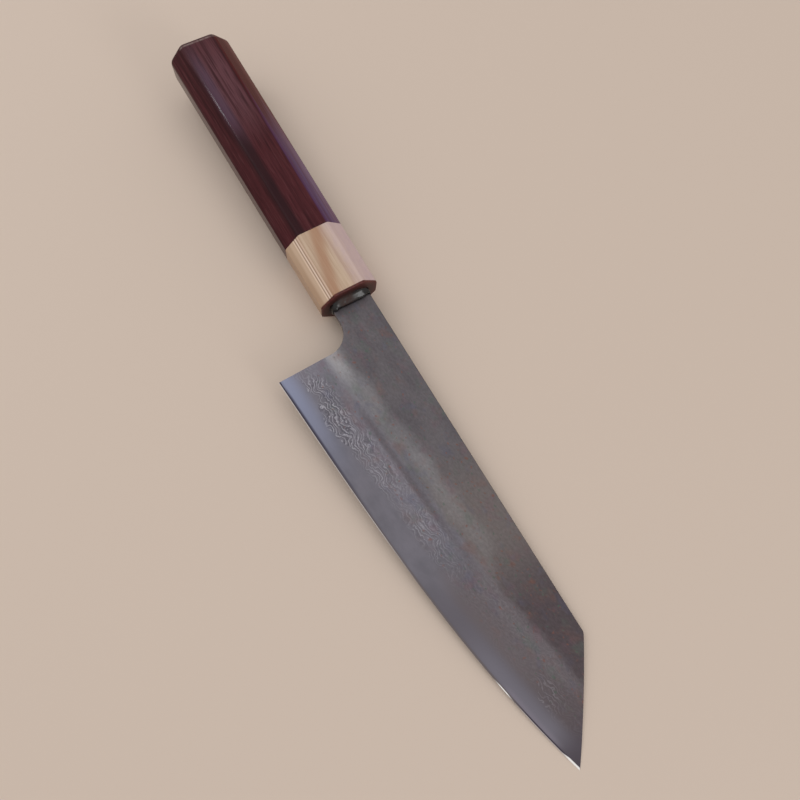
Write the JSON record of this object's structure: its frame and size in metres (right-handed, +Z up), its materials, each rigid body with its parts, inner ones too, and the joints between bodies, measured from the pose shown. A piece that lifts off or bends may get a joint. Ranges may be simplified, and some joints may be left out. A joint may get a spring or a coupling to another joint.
{
  "type": "bunka kitchen knife",
  "caption": "Kitchen knife with a clipped tip: laminated blade with a wavy core line, hidden tang, and a glued octagonal wooden handle with a pale ferrule and a dark front plate.",
  "frame": {"origin": "under the middle of the whole knife as it lies on its side, at the height of the handle's lowest flat", "axes": "+X from the butt to the tip along the handle's axis, +Y from the edge to the spine, +Z up, square to the blade's right face"},
  "size_m": [0.3086, 0.0524, 0.0205],
  "materials": {
    "core_steel": "fine ground, bluish, bright at the edge",
    "layered_steel": "etched wavy layers, satin, faint warm and green patches",
    "rosewood": "oiled, glossy, straight dark grain",
    "pale_wood": "satin, straight tan grain",
    "dark_wood": "satin, red-brown",
    "dowel_wood": "raw, turned",
    "resin": "set resin, glossy"
  },
  "bodies": {
    "root": {"blade_core": "core_steel", "cladding_right": "layered_steel", "cladding_left": "layered_steel", "handle_body": "rosewood", "ferrule": "pale_wood", "front_cap": "dark_wood", "dowel": "dowel_wood", "tang_bedding": "resin"}
  },
  "joints": []
}
